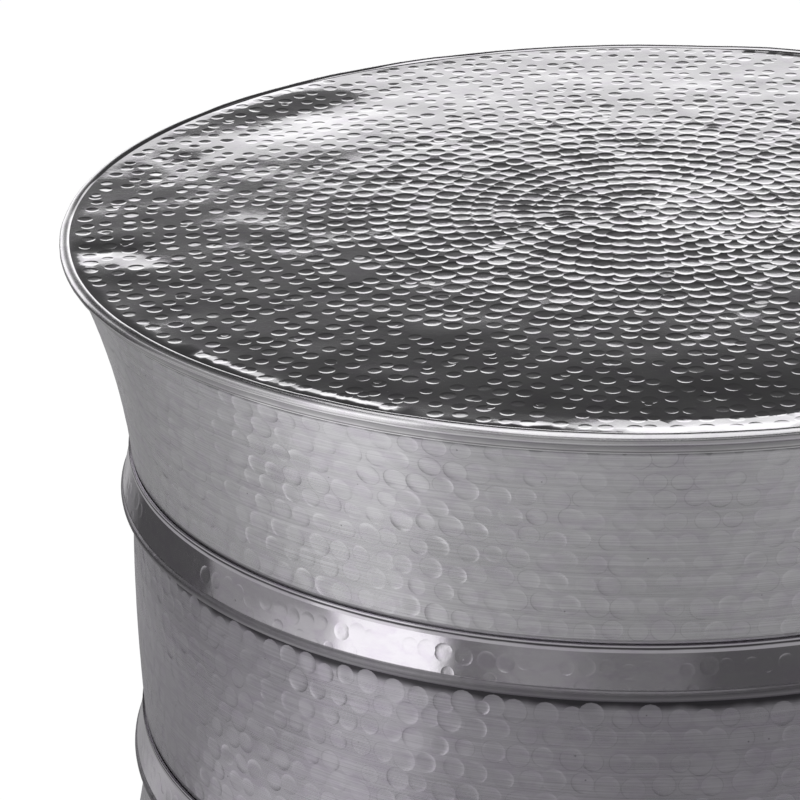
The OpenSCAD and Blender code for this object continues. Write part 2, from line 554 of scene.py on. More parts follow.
def settled(a):
    """How far the hand-rolled rim sits below its true height at an angle round it."""
    b = math.degrees(math.pi - abs(a))
    begin, end = (130, 112) if a < 0 else (106, 97)
    return (RIM_SETTLED * smoothstep(begin, end, b) + 0.0013 * lobe(a, -156, 20)
            + 0.0004 * lobe(a, -95, 6))


def settle_rim(bm):
    """Lowers the rolled rim, and what is inside it, to where hand work left it."""
    for vert in bm.verts:
        x, y, z = vert.co
        if z > LAP_Z and math.hypot(x, y) > JOIN[0] - 0.0025:
            vert.co.z -= settled(math.atan2(y, x)) * smoothstep(LAP_Z + 0.0002, LAP_Z + 0.0040, z)


def unevenness(place, size, grain):
    """How far a sheet that was struck by hand wanders from its true form."""
    return (size * noise.noise(place * 9 + Vector((3.1, 0.4, 0.7)))
            + grain * noise.noise(place * 38 + Vector((0.7, 5.2, 1.3))))


def struck_band(wrap, marks, low, high, size, grain, node, material):
    """A turned sheet piece, with hammer marks in its outer face from low to high."""
    path, width = wrap.path, wrap.width
    both = []
    for m in marks:
        both.append(m)
        reach = m.r * 1.05
        if m.u < reach:
            both.append(m._replace(u=m.u + width))
        elif m.u > width - reach:
            both.append(m._replace(u=m.u - width))
    pattern = Pattern(both, low, high)
    points, edges = wrap.strip(pattern)
    bm = bmesh.new()
    spin_profile(bm, [path[-1]] + beside(path, SHEET)[::-1] + [path[0]], wrap.steps)

    def lay(u, v, h):
        i = wrap.span(v)
        a = u / wrap.r + math.pi / 2
        ca, sa = math.cos(a), math.sin(a)

        def turned(p):
            return Vector((p[0] * ca, p[0] * sa, p[1]))

        k = (v - wrap.at[i]) / (wrap.at[i + 1] - wrap.at[i])
        p, q = path[i], path[i + 1]
        r, z = p[0] + (q[0] - p[0]) * k, p[1] + (q[1] - p[1]) * k
        across = Vector((-sa, ca, 0))
        lean = (0.0, 0.0)
        if low < v < high:
            here = turned((r, z))
            fade = min(1.0, (v - low) / EDGE_FADE, (high - v) / EDGE_FADE)
            level = unevenness(here, size, grain)
            lean = tuple((unevenness(here + way * PROBE, size, grain) - level) / PROBE * fade
                         for way in (across, turned(wrap.down[i])))
            h += level * fade
        n = wrap.out(v, i)
        return Corner(bm.verts.new(turned((r + n[0] * h, z + n[1] * h))), across, lean,
                      lambda span: (turned(wrap.out(v, span)), turned(wrap.down[span])))

    strike(bm, points, edges, pattern,
           lambda u, v: 0 < u < width and 0 < v < wrap.at[-1], lay, wrap.span)
    settle_rim(bm)
    finish_piece(bm, "hammered_" + node, node, material)


# The table top

def border_wander(r, here, a):
    """How far the outer part of the disc strays from its true form."""
    # A broad wave beside the left rim
    t = (here.y + 0.076 + 0.016 * noise.noise(here * 28)) / 0.020
    wander = -0.00115 * t * math.exp(-t * t) * smoothstep(-0.222, -0.262, here.x)
    way = Vector((math.cos(a), math.sin(a), 0))
    steep = lobe(a, *STEEP_BORDER)
    wander -= settled(a) * (0.45 + 0.55 * steep) * smoothstep(0.19, 0.288, r)
    wander += steep * (0.00165 * max(0.0, (r - 0.2765) / 0.0185)
                       - 0.00095 * smoothstep(0.225, 0.274, r))
    # A ragged lift of the border in a few places, and a hollow at the far left
    ragged = smoothstep(-0.4, 0.25, noise.noise(way * 7))
    lifted = 0.080 * max(0.0, r - 0.2855) - (
        0.00045 * smoothstep(0.250, 0.284, r) * smoothstep(0.2945, 0.290, r))
    for middle, power, lift in BORDER_LIFTS:
        wander += lobe(a, middle, power) * lift * ragged * lifted
    wander += lobe(a, *FAR_HOLLOW) * (0.0020 * smoothstep(0.246, 0.291, r)
                                      - 0.0007 * smoothstep(0.205, 0.248, r))
    uneven = (noise.noise(way * 2.6 + Vector((0.2, 1.7, 4.0)))
              + 0.5 * noise.noise(way * 9 + Vector((5, 2, 1))))
    return wander + 0.00020 * uneven * smoothstep(0.267, 0.290, r), uneven


def disc_height(x, y):
    """The smooth form of the disc: flat, softly uneven, and climbing to its rim."""
    r = math.hypot(x, y)
    here = Vector((x, y, 0))
    level = FLAT_Z + unevenness(here, 0.0005, 0.00021)
    if r < QUIET_R:
        return level
    a = math.atan2(y, x)
    wander, uneven = border_wander(r, here, a)
    level += wander
    if r <= BORDER_R:
        return level
    k = min(1.0, (r - BORDER_R) / (JOIN[0] - BORDER_R)) ** max(1.6, 4.0 + 2.6 * uneven)
    return level * (1 - k) + (JOIN[1] - settled(a)) * k


def disc_marks(rng, top):
    """Rings of marks, struck from the rim inwards, and lighter towards the rim."""
    def polar(d, a, *rest):
        marks.append(blow(rng, d * math.cos(a), d * math.sin(a), *rest))

    marks = []
    count = int((JOIN[0] - 0.0140) / top.row_pitch)
    for k in range(count, -1, -1):
        r0 = k * top.row_pitch + 0.0060
        light = smoothstep(0.110, 0.225, r0)
        r = top.mark_radius * (1.0 - 0.06 * min(1.0, r0 / 0.11) - 0.32 * light)
        pitch = top.mark_pitch * (1.0 - 0.2 * smoothstep(0.11, 0.08, r0))
        around = max(4, round(FULL_TURN * r0 / pitch))
        shift = rng.random()
        for j in range(around):
            if rng.random() < 0.04 * light:
                continue
            loose = 0.05 + 0.17 * light
            a = FULL_TURN * (j + shift + rng.uniform(-loose, loose)) / around
            d = r0 + rng.uniform(-1, 1) * (0.0003 + 0.0014 * light)
            faint = lobe(a, *STEEP_BORDER) * smoothstep(0.262, 0.275, d)
            loud = lobe(a, *LOUD_MARKS) * smoothstep(0.225, 0.250, d)
            slope = (top.mark_slope * rng.uniform(0.7, 1.25)
                     * (1.12 - 0.20 * light - 0.25 * faint + 0.45 * loud))
            polar(d, a, r * rng.uniform(0.84, 1.12), slope, 0.004 + 0.006 * light + 0.015 * loud)
            if rng.random() < 0.10:
                a += rng.uniform(-0.4, 0.4) * top.mark_pitch / r0
                d += rng.uniform(-0.4, 0.4) * top.row_pitch
                polar(d, a, r * rng.uniform(0.5, 0.8), slope * 0.8, 0.012)
    marks.append(blow(rng, 0.0004, 0.0003, 0.0034, top.mark_slope, 0.0))
    return marks


def rim_paths():
    """The rim from the disc over the bead to the end of the lap, and the skin inside it."""
    h = SKIRT_TOP - UPPER_JOINT
    slope = flare_slope(LAP_Z - UPPER_JOINT, RIM_C[0], h)
    side, up = unit(1, -slope), unit(slope, 1)
    lap = (flare(LAP_Z - UPPER_JOINT, RIM_C[0], h) + side[0] * (SHEET + FIT_GAP),
           LAP_Z + side[1] * (SHEET + FIT_GAP))
    turned = onto_bead((lap[0], -lap[1]), (up[0], -up[1]), (RIM_C[0], -RIM_C[1]), RIM_BEAD_R,
                       -math.degrees(JOIN_A))
    rim = [(r, -z) for r, z in turned][::-1]
    skin = beside([(0.0, FLAT_Z), (BORDER_R, FLAT_Z)] + rim, SHEET)
    under = [(BORDER_R * k / 16, skin[0][1]) for k in range(16)]
    return [JOIN] + rim[1:], under + skin[1:]


def shape_rim(bm):
    """Swells the spun bead unevenly, and moves the skin below the disc with the disc."""
    for vert in bm.verts:
        x, y, z = vert.co
        r = math.hypot(x, y)
        out, up = r - RIM_C[0], z - RIM_C[1]
        apart = math.hypot(r - JOIN[0], z - JOIN[1])
        if apart > 1e-4 and abs(math.hypot(out, up) - RIM_BEAD_R) < TOLERANCE:
            swell = (0.00014 + 0.0003 * noise.noise(vert.co * 32)
                     + 0.00014 * noise.noise(vert.co * 110))
            swell = max(0.0, swell) * smoothstep(0.0, 0.0016, apart) / RIM_BEAD_R
            wider = 1 + out * swell / r
            vert.co = (x * wider, y * wider, z + up * swell)
        elif r < BORDER_R + 0.0008 and z < FLAT_Z - 0.0006:
            vert.co.z += disc_height(x, y) - FLAT_Z
    settle_rim(bm)


# Node trees

class Tree:
    """Short forms for making a node tree, of which most give back an output socket."""

    def __init__(self, tree):
        self.tree = tree

    def add(self, kind, inputs=(), **settings):
        """Adds a node, and gives back the node itself."""
        node = self.tree.nodes.new("ShaderNode" + kind)
        for name, value in settings.items():
            setattr(node, name, value)
        self.fill(node, inputs)
        return node

    def fill(self, node, inputs):
        """Links or sets inputs, which are given by name, or in their order."""
        pairs = inputs.items() if isinstance(inputs, dict) else enumerate(inputs)
        for key, value in pairs:
            if isinstance(value, bpy.types.NodeSocket):
                self.tree.links.new(value, node.inputs[key])
            else:
                node.inputs[key].default_value = value

    def calc(self, operation, *values, clamp=False):
        return self.add("Math", values, operation=operation, use_clamp=clamp).outputs[0]

    def times(self, a, b):
        return self.calc("MULTIPLY", a, b)

    def plus(self, a, b):
        return self.calc("ADD", a, b)

    def split(self, vector):
        return self.add("SeparateXYZ", (vector,)).outputs

    def radius(self, x, y):
        return self.calc("POWER", self.plus(self.calc("POWER", x, 2.0),
                                            self.calc("POWER", y, 2.0)), 0.5)

    def ramp(self, value, stops):
        node = self.add("ValToRGB", (value,))
        elements = node.color_ramp.elements
        for i, (place, level) in enumerate(stops):
            element = elements[i] if i < 2 else elements.new(place)
            element.position = place
            element.color = (level, level, level, 1)
        return node.outputs[0]

    def noise(self, vector, scale, stretch=(1, 1, 1), detail=2.0, rough=0.5):
        mapping = self.add("Mapping", {"Vector": vector, "Scale": stretch})
        return self.add("TexNoise", {"Vector": mapping.outputs[0], "Scale": scale,
                                     "Detail": detail, "Roughness": rough}).outputs["Fac"]

    def step(self, value, low, high):
        return self.add("MapRange", {"Value": value, "From Min": low, "From Max": high},
                        interpolation_type="SMOOTHSTEP").outputs[0]

    def mix(self, factor, a, b):
        return self.add("Mix", {0: factor, 6: a, 7: b}, data_type="RGBA").outputs[2]

    def bump(self, shader, height, distance):
        made = self.add("Bump", {"Strength": 1.0, "Distance": distance, "Height": height})
        self.fill(shader, {"Normal": made.outputs[0]})


def new_group(name, inputs, outputs):
    """A group with a Vector and other numbers as inputs, and masks as outputs."""
    group = bpy.data.node_groups.new(name, "ShaderNodeTree")
    sockets = group.interface
    sockets.new_socket(name="Vector", in_out="INPUT", socket_type="NodeSocketVector")
    for label, value in inputs.items():
        socket = sockets.new_socket(name=label, in_out="INPUT", socket_type="NodeSocketFloat")
        socket.default_value = value
    for label in outputs:
        sockets.new_socket(name=label, in_out="OUTPUT", socket_type="NodeSocketFloat")
    return (group, Tree(group), group.nodes.new("NodeGroupInput").outputs,
            group.nodes.new("NodeGroupOutput"))


def brush_lines_group():
    """Fine lines left by a brush or a lathe, which run round the turn."""
    group, tree, given, result = new_group("brush_lines", {"Fineness": 1.0}, ("Lines", "Broad"))
    vector, fineness = given["Vector"], given["Fineness"]
    tree.fill(result, {"Lines": tree.noise(vector, fineness, (16, 16, 2300), 3.0, 0.62),
                       "Broad": tree.noise(vector, fineness, (5, 5, 210), 3.0, 0.55)})
    return group


def worn_metal_group():
    """Clouds of dull and bright metal, mottling, small pits, and a fine ripple."""
    group, tree, given, result = new_group(
        "worn_metal", {"Cloud Size": 12.0, "Pit Share": 0.1},
        ("Clouds", "Mottle", "Pits", "Ripple"))
    vector = given["Vector"]
    clouds = tree.noise(vector, given["Cloud Size"], (1, 1, 1.6), 5.0, 0.6)
    cells = tree.add("TexVoronoi", {"Vector": vector, "Scale": 210}, feature="F1").outputs
    chosen = tree.add("SeparateColor", (cells["Color"],)).outputs[0]
    dot = tree.step(cells["Distance"], 0.13, 0.05)
    mottle = tree.noise(vector, 75.0, (1, 1, 2.2), 4.0, 0.65)
    tree.fill(result, {
        "Clouds": tree.step(clouds, 0.3, 0.7),
        "Mottle": tree.step(mottle, 0.42, 0.68),
        "Pits": tree.times(dot, tree.calc("LESS_THAN", chosen, given["Pit Share"])),
        "Ripple": tree.noise(vector, 260.0, (1, 1, 1), 5.0, 0.62)})
    return group


def joint_shade_and_grime_group():
    """Painted shade, with some dark polish, caught just below a given height, thinning downwards.
    """
    group, tree, given, result = new_group(
        "joint_shade_and_grime", {"Height": 0.273, "Width": 0.004}, ("Shade And Grime",))
    wander = tree.noise(given["Vector"], 60.0, (1, 1, 0.4), 2.0, 0.5)
    below = tree.calc("SUBTRACT", given["Height"], tree.split(given["Vector"])[2])
    share = tree.plus(tree.calc("DIVIDE", below, given["Width"]),
                      tree.times(tree.calc("SUBTRACT", wander, 0.5), 0.5))
    tree.fill(result, {"Shade And Grime": tree.times(tree.step(share, 1.0, 0.4),
                                           tree.step(below, -0.0004, 0.0002))})
    return group


GROUPS = {"brush_lines": brush_lines_group, "worn_metal": worn_metal_group,
          "joint_shade_and_grime": joint_shade_and_grime_group}


def use_group(tree, name, inputs):
    group = bpy.data.node_groups.get(name) or GROUPS[name]()
    return tree.add("Group", inputs, node_tree=group).outputs


def empty_tree(owner):
    owner.use_nodes = True
    owner.node_tree.nodes.clear()
    return Tree(owner.node_tree)


def new_material(name):
    material = bpy.data.materials.new(name)
    material.use_nodes = True
    tree = Tree(material.node_tree)
    shader = material.node_tree.nodes["Principled BSDF"]
    return material, tree, shader, tree.add("TexCoord").outputs["Object"]


def shade(colour, level):
    return (colour[0] * level, colour[1] * level, colour[2] * level, 1.0)


# Painted shade, with some grime, beside the joints, in grooves and below beads: its height, its
# width below that, how dark it is, and how much of it a struck face keeps.
# On the top: the rolled rim and its lap darkened downwards as painted shade
TOP_JOINTS = ((0.4136, 0.0052, 0.42, 1.0), (0.4094, 0.0012, 0.6, 1.0))
# On the skirts: painted shade under the lap, the groove above the upper ring painted black as its
# shadow, a darker lower edge, and painted shade under the lower ring
SKIRT_JOINTS = ((LAP_Z, 0.003, 0.6, 0.7), (0.3001, 0.006, 1.0, 1.0), (0.3030, 0.012, 0.35, 1.0),
                (0.1215, 0.006, 0.85, 0.3))
# On the waist: painted shade under the upper ring, the groove above the lower ring painted black
# as its shadow, and a darker foot
WAIST_JOINTS = ((0.2735, 0.009, 0.85, 0.3), (0.1481, 0.006, 1.0, 1.0), (0.1516, 0.016, 0.45, 1.0))
# On the rings: the collar in the groove painted dark as its shadow, and the bead darkened below
# its top as painted shade
RING_JOINTS = ((0.2997, 0.0014, 0.9, 1.0), (0.2797, 0.020, 0.70, 1.0),
               (0.1477, 0.0014, 0.9, 1.0), (0.1277, 0.020, 0.70, 1.0))
BLACK = (0, 0, 0, 1)
# Colour of the painted shade beside the joints and of the grime in small pits
SHADE_AND_GRIME_COLOUR = (0.02, 0.018, 0.022, 1)
RUST = (0.09, 0.055, 0.035, 1)
MAUVE = (0.90, 0.86, 0.92)


def aluminium(name, colour, roughness, spread, brushed, joints, ripple, satin_from=None):
    """Aluminium sheet: polished to a mirror, or brushed round the turn to a satin.

    Beyond the radius satin_from, where one is given, the polish is duller.
    """
    material, tree, shader, place = new_material(name)
    depth = tree.add("Attribute", attribute_name="struck").outputs["Fac"]
    struck = tree.step(depth, 0.05, 0.15)
    worn = use_group(tree, "worn_metal", {"Vector": place, "Cloud Size": 13.0,
                                          "Pit Share": 0.05 if brushed else 0.03})
    lines = use_group(tree, "brush_lines", {"Vector": place, "Fineness": 1.0})
    tone = tree.plus(tree.times(worn["Clouds"], 0.6), tree.times(lines["Broad"], 0.4))
    tint = tree.mix(tone, shade(colour, 0.90), shade(colour, 1.05))
    mauve = (*(c * m for c, m in zip(colour, MAUVE)), 1)
    tint = tree.mix(tree.times(worn["Mottle"], 0.7), tint, mauve)
    if brushed:
        streak = tree.step(lines["Lines"], 0.3, 0.7)
        tint = tree.mix(streak, tree.mix(0.22, tint, BLACK), tint)
        patchy = tree.step(tree.noise(place, 45.0), 0.42, 0.60)
        # Painted shade, with some dirt: a patchy dark line just inside the edge of each mark
        mark_edge_shade_and_dirt = tree.times(tree.step(depth, 0.90, 0.99), tree.times(patchy, 0.20))
        unstruck = tree.calc("MULTIPLY_ADD", struck, -0.04, 0.04)
        tint = tree.mix(tree.plus(mark_edge_shade_and_dirt, unstruck), tint, BLACK)
    pits_and_joint_shade = tree.times(worn["Pits"], 0.5)
    # Painted shade in grooves, creases and below beads darkens the colour and dulls the polish
    for height, width, dark, kept in joints:
        shade_band = use_group(tree, "joint_shade_and_grime", {"Vector": place, "Height": height, "Width": width})
        share = tree.times(tree.times(shade_band[0], dark),
                           tree.calc("MULTIPLY_ADD", struck, kept - 1.0, 1.0))
        pits_and_joint_shade = tree.calc("MAXIMUM", pits_and_joint_shade, share)
    rough = tree.calc("MULTIPLY_ADD", worn["Clouds"], spread, roughness - spread / 2)
    if brushed:
        rough = tree.plus(rough, tree.times(streak, 0.06))
    rough = tree.plus(rough, tree.times(pits_and_joint_shade, 0.35))
    if satin_from:
        x, y, _ = tree.split(place)
        satin = tree.step(tree.radius(x, y), satin_from, satin_from + 0.0012)
        rough = tree.plus(rough, tree.times(satin, 0.19))
    height = tree.times(worn["Ripple"], ripple)
    if brushed:
        height = tree.plus(height, tree.times(lines["Lines"], 0.45))
        tangent = tree.add("Tangent", direction_type="RADIAL", axis="Z").outputs[0]
        tree.fill(shader, {"Anisotropic": 0.6, "Anisotropic Rotation": 0.25, "Tangent": tangent})
    tree.fill(shader, {"Base Color": tree.mix(pits_and_joint_shade, tint, SHADE_AND_GRIME_COLOUR), "Metallic": 1.0,
                       "Roughness": rough})
    tree.bump(shader, tree.calc("SUBTRACT", height, worn["Pits"]), 0.00001)
    return material


def drawn_steel(colour):
    material, tree, shader, place = new_material("drawn_steel")
    lines = use_group(tree, "brush_lines", {"Vector": place, "Fineness": 0.8})
    worn = use_group(tree, "worn_metal", {"Vector": place, "Cloud Size": 40.0, "Pit Share": 0.2})
    tint = tree.mix(lines["Lines"], shade(colour, 0.75), shade(colour, 1.2))
    tree.fill(shader, {"Base Color": tree.mix(tree.times(worn["Pits"], 0.7), tint, RUST),
                       "Metallic": 1.0,
                       "Roughness": tree.calc("MULTIPLY_ADD", worn["Clouds"], 0.18, 0.28)})
    return material


def pressed_felt(colour):
    material, tree, shader, place = new_material("pressed_felt")
    fibre = tree.noise(place, 900.0, (1, 1, 2.5), 4.0, 0.65)
    mat = tree.noise(place, 160.0, (1, 1, 1), 3.0, 0.5)
    tone = tree.plus(tree.times(fibre, 0.7), tree.times(mat, 0.3))
    tree.fill(shader, {"Base Color": tree.mix(tone, shade(colour, 0.55), shade(colour, 1.6)),
                       "Roughness": 0.95, "Sheen Weight": 0.35, "Sheen Roughness": 0.5})
    tree.bump(shader, fibre, 0.0003)
    return material


# The stage

# The camera fitted to the rim and the joints, with its angles in radians
FOCAL_PX, PICTURE_PX, SENSOR_MM = 3537.26, 800, 36
CAMERA_PLACE = (0, -1.73865, 1.02842)
PITCH, YAW, ROLL = 0.3902, -0.0726, -0.0225


def build_camera():
    data = bpy.data.cameras.new("camera")
    data.sensor_width = SENSOR_MM
    data.lens = FOCAL_PX / PICTURE_PX * SENSOR_MM
    camera = place_object("camera", data)
    camera.matrix_world = (
        Matrix.Translation(CAMERA_PLACE) @ Matrix.Rotation(-YAW, 4, "Z")
        @ Matrix.Rotation(math.pi / 2 - PITCH, 4, "X") @ Matrix.Rotation(ROLL, 4, "Z"))
    bpy.context.scene.camera = camera


# Brightness of the studio round the table. Azimuth is 0 behind the table and grows
# towards its right side, in degrees.
HORIZON = ((-180, 0.16), (-174, 0.16), (-166, 0.24), (-155, 0.24), (-148, 0.15), (-141, 0.14),
           (-139.5, 1.12), (-117, 1.12), (-115, 0.48), (-104, 0.46), (-92, 0.28), (-78, 0.18),
           (-62, 0.07), (-56, 0.10), (-50, 0.45), (50, 0.45), (62, 0.10), (84, 0.22), (92, 0.80),
           (108, 0.80), (111, 0.30), (126, 0.20), (146, 0.09), (164, 0.09), (172, 0.16),
           (180, 0.16))
# Painted brightness of the floor round the table, which only the metal's reflections show
GROUND = ((-180, 0.33), (-166, 0.38), (-152, 0.42), (-144, 0.46), (-136, 0.55), (-128, 0.57),
          (-119, 0.53), (-108, 0.44), (-98, 0.42), (-86, 0.43), (-72, 0.43), (-40, 0.43),
          (-8, 0.35), (40, 0.55), (70, 0.40), (100, 0.60), (120, 0.50), (150, 0.36), (166, 0.33),
          (180, 0.33))
# Painted shade on the far floor to the near left, which only the metal's reflections show
FAR_LEFT = ((-84, 0.075), (-56, 0.075), (-50, 0.20), (-10, 0.28))
# Share of the ground's brightness at a distance from the table's middle: painted rings of light
# and shade on the floor
REACH = ((0.30, 0.9), (0.46, 1.25), (0.52, 1.14), (0.57, 1.02), (0.62, 0.98), (0.68, 0.74),
         (0.74, 0.62), (0.80, 0.80), (0.90, 1.05), (1.3, 0.9), (2.0, 0.6))
REACH_R, REACH_MOST = 2.0, 1.25
# Brightness against elevation, where 1 is straight up: the share of the horizon's that
# is left, the pale wall behind the table, and the dark above that wall
LOW_SHARE = ((0.0, 1.0), (0.35, 0.9), (0.55, 0.35), (1.0, 0.3))
WALL = ((0.0, 1.25), (0.150, 1.20), (0.178, 0.86), (0.196, 0.72), (1.0, 0.70))
ABOVE_WALL = ((0.0, 0.165), (0.212, 0.158), (0.228, 0.130), (0.252, 0.077), (0.30, 0.050),
              (0.40, 0.040), (1.0, 0.036))
# Close stretches of floor with painted light (the first) and painted shade (the second), which the
# metal mirrors: middle, half width and level
CLOSE_FLOOR = ((-116, 30.0, 0.25), (-70, 34.0, -0.20))


def around_ramp(tree, azimuth, levels):
    return tree.ramp(tree.calc("MULTIPLY_ADD", azimuth, 1 / 360, 0.5),
                     [(a / 360 + 0.5, level) for a, level in levels])


def azimuth_of(tree, x, y):
    return tree.times(tree.calc("ARCTAN2", x, y), 180 / math.pi)


def beside_azimuth(tree, azimuth, middle, outer, inner):
    """1 within inner degrees of the middle, and 0 beyond outer degrees."""
    apart = tree.calc("ABSOLUTE", tree.calc("SUBTRACT", azimuth, middle))
    return tree.step(apart, outer, inner)


def build_world():
    world = bpy.data.worlds.new("studio")
    bpy.context.scene.world = world
    tree = empty_tree(world)
    x, y, z = tree.split(tree.add("TexCoord").outputs["Generated"])
    el = tree.times(tree.calc("ARCSINE", z), 180 / math.pi)
    az = azimuth_of(tree, x, y)
    up = tree.calc("DIVIDE", el, 90.0, clamp=True)
    low = tree.times(around_ramp(tree, az, HORIZON), tree.ramp(up, LOW_SHARE))
    cornice = tree.times(tree.step(el, 11.0, 12.5), tree.step(el, 19.0, 18.2))
    low = tree.calc("MULTIPLY_ADD", cornice, 0.5, low)
    # The upper edge of the pale wall, which the flat disc mirrors
    edge = tree.plus(tree.calc("MAXIMUM", tree.times(az, 0.10), tree.times(az, 0.045)), 18.95)
    wall = tree.step(tree.calc("SUBTRACT", edge, el), -0.3, 0.3)
    back = tree.mix(wall, tree.ramp(up, ABOVE_WALL), tree.ramp(up, WALL))
    level = tree.mix(beside_azimuth(tree, az, 0.0, 56.0, 50.0), low, back)
    mirrored = tree.add("Background", {"Color": level})
    white = tree.add("Background", {"Color": (1, 1, 1, 1)})
    shown = tree.add("MixShader", (tree.add("LightPath").outputs["Is Camera Ray"],
                                   mirrored.outputs[0], white.outputs[0]))
    tree.add("OutputWorld", (shown.outputs[0],))


def floor_material(colour):
    material = bpy.data.materials.new("pale_floor")
    tree = empty_tree(material)
    # Glossy rays see the floor glow with painted pools of light and painted shade round the table,
    # which the metal mirrors; camera and diffuse rays see a plain pale floor
    x, y, _ = tree.split(tree.add("TexCoord").outputs["Object"])
    az = azimuth_of(tree, x, y)
    r = tree.radius(x, y)
    reach = tree.ramp(tree.calc("DIVIDE", r, REACH_R, clamp=True),
                      [(d / REACH_R, level / REACH_MOST) for d, level in REACH])
    pool = tree.times(around_ramp(tree, az, GROUND), tree.times(reach, REACH_MOST))
    for middle, wide, level in CLOSE_FLOOR:
        close = tree.times(beside_azimuth(tree, az, middle, wide, wide - 14),
                           tree.step(r, 0.59, 0.50))
        pool = tree.plus(pool, tree.times(close, level))
    far_left = tree.times(beside_azimuth(tree, az, -47.0, 38.5, 36.5), tree.step(r, 0.92, 1.02))
    pool = tree.mix(far_left, pool, around_ramp(tree, az, FAR_LEFT))
    # A painted pool of softbox light on the floor, seen only in the metal
    box = tree.times(beside_azimuth(tree, az, -128.0, 12.5, 10.5), tree.step(r, 0.66, 1.0))
    glow = tree.add("Emission", {"Color": tree.mix(tree.times(box, 0.9), pool, (1, 1, 1, 1))})
    plain = tree.add("BsdfDiffuse", {"Color": (*colour, 1)})
    white = tree.add("Emission", {"Strength": 1.20})
    light = tree.add("LightPath").outputs
    mirrored = tree.add("MixShader", (light["Is Glossy Ray"], plain.outputs[0], glow.outputs[0]))
    shown = tree.add("MixShader", (tree.times(light["Is Camera Ray"], 0.80), mirrored.outputs[0],
                                   white.outputs[0]))
    tree.add("OutputMaterial", (shown.outputs[0],))
    return material


def build_floor(stage):
    bm = bmesh.new()
    bmesh.ops.create_circle(bm, cap_ends=True, radius=stage.floor_radius, segments=96)
    mesh = bpy.data.meshes.new("studio_floor")
    bm.to_mesh(mesh)
    bm.free()
    mesh.materials.append(floor_material(stage.floor_colour))
    place_object("studio_floor", mesh)


def build_softbox(level):
    """One broad lamp that hangs level above the near side of the table."""
    width, depth = 2.8, 3.8
    data = bpy.data.lights.new("softbox_overhead", "AREA")
    data.shape = "RECTANGLE"
    data.size, data.size_y = width, depth
    data.energy = 0.95 * level * math.pi * width * depth
    lamp = place_object("softbox_overhead", data)
    lamp.location = (0, -1.1, 2.7)
    lamp.visible_camera = False


# Operators

class DRUM_OT_stage(bpy.types.Operator):
    """Set up the camera, the pale floor and the soft studio light"""
    bl_idname = "drum_table.stage"
    bl_label = "Stage"

    def execute(self, context):
        settings = context.scene.drum_table.stage
        context.scene.view_settings.view_transform = "Standard"
        build_camera()
        build_world()
        build_floor(settings)
        build_softbox(settings.lamp_level)
        return {"FINISHED"}


class DRUM_OT_top(bpy.types.Operator):
    """Hammer the disc and roll its rim"""
    bl_idname = "drum_table.top"
    bl_label = "Table top"

    def execute(self, context):
        drum = context.scene.drum_table
        pattern = Pattern(disc_marks(random.Random(11), drum.top))
        points, edges = pattern.outlines()
        for r in (BORDER_R, JOIN[0]):
            base = len(points)
            for j in range(drum.steps):
                a = FULL_TURN * j / drum.steps
                points.append(Vector((r * math.cos(a), r * math.sin(a))))
                edges.append((base + j, base + (j + 1) % drum.steps))
        bm = bmesh.new()
        rim, skin = rim_paths()
        spin_profile(bm, rim + skin[::-1], drum.steps)
        shape_rim(bm)
        flat_frame = (Vector((0, 0, 1)), Vector((0, 1, 0)))

        def lay(x, y, h):
            level = disc_height(x, y)
            lean = ((disc_height(x + PROBE, y) - level) / PROBE,
                    (disc_height(x, y + PROBE) - level) / PROBE)
            fade = 1.0 - smoothstep(0.290, JOIN[0], math.hypot(x, y))
            vert = bm.verts.new((x, y, level + h * fade))
            return Corner(vert, Vector((1, 0, 0)), lean, lambda span: flat_frame)

        strike(bm, points, edges, pattern, lambda x, y: True, lay, lambda y: 0)
        metal = aluminium("polished_aluminium_top", drum.top.colour, 0.042, 0.04, False,
                          TOP_JOINTS, 2.2, JOIN[0] + 0.0004)
        finish_piece(bm, "hammered_top", "table_top", metal)
        return {"FINISHED"}


class DRUM_OT_walls(bpy.types.Operator):
    """Hammer and brush the two skirts and the waist"""
    bl_idname = "drum_table.walls"
    bl_label = "Skirts and waist"

    def execute(self, context):
        drum = context.scene.drum_table
        wall = drum.wall
        rng = random.Random(5)
        upper, waist, base = upper_skirt_path(), waist_path(), base_skirt_path()
        skirts, middle = (
            aluminium("brushed_aluminium_" + name, colour, 0.27, 0.08, True, joints, 0.6)
            for name, colour, joints in (("skirts", wall.skirt_colour, SKIRT_JOINTS),
                                         ("waist", wall.waist_colour, WAIST_JOINTS)))
        # The first and last points of the struck face, where its smooth points end, and
        # how far the rows of marks stay from the ends of the face
        for node, path, first, last, smooth_end, start, stop, metal in (
                ("upper_skirt", upper, 0, len(upper) - 3, len(upper) - 3, 0.0130, 0.0066, skirts),
                ("waist", waist, 1, len(waist) - 3, len(waist) - 3, 0.0095, 0.0066, middle),
                ("base_skirt", base, 1, 16, len(base) - 1, 0.0095, 0.0060, skirts)):
            wrap = Wrap(path, range(first + 1, smooth_end), drum.steps)
            top, foot = wrap.at[first], wrap.at[last]
            height = foot - stop - top - start
            count = round(height / wall.row_pitch)
            rows = [top + start + height * i / count for i in range(count + 1)]
            marks = rows_of_marks(rng, wrap.width, rows, wall.mark_pitch, wall.mark_radius,
                                  wall.mark_slope, 0.16, 0.02)
            rng.shuffle(marks)
            if node == "waist":
                # A small deep dent below the upper ring
                marks.append(Mark(2.871 * wrap.r, top + 0.0105, 0.0036, 0.00030, 0.0, 0.0))
            struck_band(wrap, marks, top + 0.001, foot - 0.0004, 0.0006, 0.00010, node, metal)
        return {"FINISHED"}


